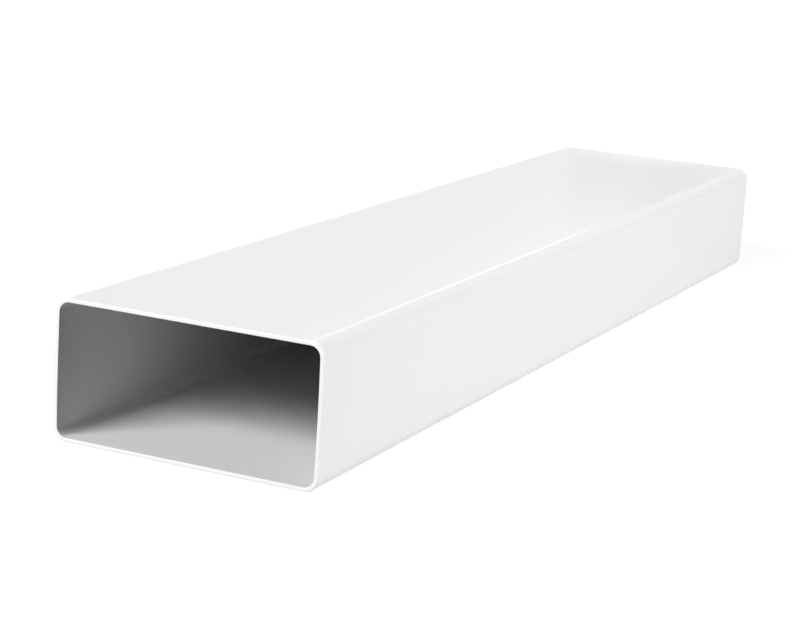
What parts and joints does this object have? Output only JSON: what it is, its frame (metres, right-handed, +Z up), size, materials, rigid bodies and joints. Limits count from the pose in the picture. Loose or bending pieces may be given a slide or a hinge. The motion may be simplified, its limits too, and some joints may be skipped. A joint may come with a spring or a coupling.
{
  "type": "flat channel duct",
  "caption": "Straight length of flat rectangular white plastic duct, open at both ends, with rounded corners and thin even walls, for carrying air in low spaces.",
  "frame": {"origin": "on the floor, under the middle of the duct", "axes": "+Y along the duct, from the end seen in the picture to the far end; +X across its width; +Z up"},
  "size_m": [0.11, 0.5, 0.054],
  "materials": {
    "white_pvc": "white extruded PVC with a satin sheen, faint die lines along its length and dull sawn ends"
  },
  "bodies": {
    "root": {"flat_channel": "white_pvc"}
  },
  "joints": []
}
